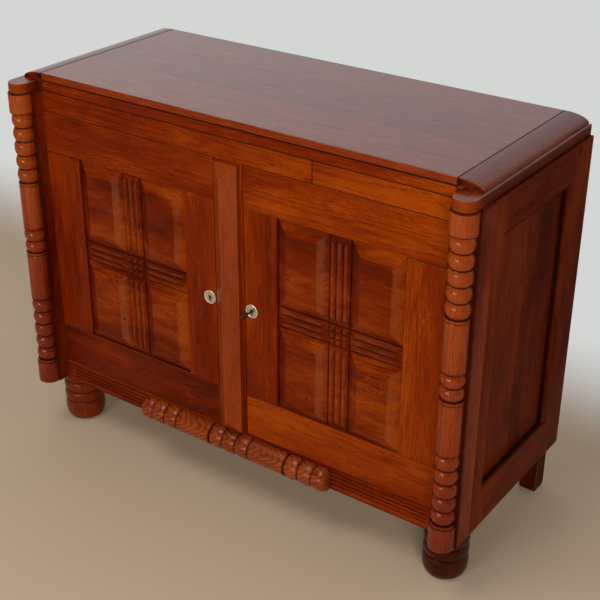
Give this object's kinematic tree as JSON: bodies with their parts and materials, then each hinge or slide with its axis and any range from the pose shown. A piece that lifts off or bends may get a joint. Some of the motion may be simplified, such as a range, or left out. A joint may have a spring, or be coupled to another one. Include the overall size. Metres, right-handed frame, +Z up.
{
  "type": "buffet cabinet",
  "caption": "Polished oak buffet cabinet with framed carved doors, engaged turned columns, turned feet, a turned plinth moulding, locks with a key, and a shelf inside.",
  "frame": {"origin": "on the floor under the middle of the cabinet's bounding box", "axes": "+X to the right along the front, +Y from the doors to the back, +Z up"},
  "size_m": [1.264, 0.5465, 0.9775],
  "materials": {
    "oak": "polished red-brown stain",
    "oak_inside": "unpolished oak",
    "nickel": "worn nickel plate",
    "iron": "dark worn iron",
    "steel": "dull lock steel",
    "brass": "dull brass"
  },
  "bodies": {
    "carcass": {"apron": "oak", "back_bottom_rail": "oak_inside", "back_panels": "oak_inside", "back_stile": "oak_inside", "back_top_rail": "oak_inside", "centre_moulding": "oak", "centre_post": "oak", "column_left": "oak", "column_right": "oak", "door_stops": "oak_inside", "floor_board": "oak_inside", "foot_blocks": "oak_inside", "front_foot_left": "oak", "front_foot_right": "oak", "front_stile_left": "oak", "front_stile_right": "oak", "pivot_bushes": "brass", "plinth_rail": "oak", "rear_foot_left": "oak", "rear_foot_right": "oak", "shelf": "oak_inside", "shelf_cleats": "oak_inside", "side_bottom_rail_left": "oak", "side_bottom_rail_right": "oak", "side_front_stile_left": "oak", "side_front_stile_right": "oak", "side_panel_left": "oak", "side_panel_right": "oak", "side_rear_stile_left": "oak", "side_rear_stile_right": "oak", "side_top_rail_left": "oak", "side_top_rail_right": "oak", "strike_plates": "steel", "top_board": "oak", "top_end_left": "oak", "top_end_right": "oak", "turned_moulding": "oak", "under_top_front": "oak", "under_top_side_left": "oak", "under_top_side_right": "oak"},
    "left_door": {"left_door_bottom_rail": "oak", "left_door_escutcheon": "nickel", "left_door_hinge_stile": "oak", "left_door_lock_case": "steel", "left_door_lock_stile": "oak", "left_door_panel": "oak", "left_door_pivots": "steel", "left_door_top_rail": "oak"},
    "right_door": {"right_door_bottom_rail": "oak", "right_door_escutcheon": "nickel", "right_door_hinge_stile": "oak", "right_door_lock_case": "steel", "right_door_lock_stile": "oak", "right_door_panel": "oak", "right_door_pivots": "steel", "right_door_top_rail": "oak"},
    "left_bolt": {"left_door_bolt": "steel"},
    "right_bolt": {"right_door_bolt": "steel"},
    "key": {"key": "iron"}
  },
  "joints": [
    {"name": "left_door_swing", "type": "hinge", "parent": "carcass", "child": "left_door", "pos_m": [-0.537, -0.20075, 0.192], "axis": [0, 0, -1], "range_deg": [0, 100]},
    {"name": "right_door_swing", "type": "hinge", "parent": "carcass", "child": "right_door", "pos_m": [0.537, -0.20075, 0.192], "axis": [0, 0, 1], "range_deg": [0, 100]},
    {"name": "key_turn", "type": "hinge", "parent": "right_door", "child": "key", "pos_m": [0.061, -0.20875, 0.533], "axis": [0, -1, 0], "range_deg": [0, 180]},
    {"name": "right_bolt_slide", "type": "slide", "parent": "right_door", "child": "right_bolt", "axis": [-1, 0, 0], "range_m": [0, 0.01]},
    {"name": "left_bolt_slide", "type": "slide", "parent": "left_door", "child": "left_bolt", "axis": [1, 0, 0], "range_m": [0, 0.01]}
  ],
  "couplings": [
    {"joint": "right_bolt_slide", "follows": "key_turn", "m_per_rad": 0.00318}
  ]
}
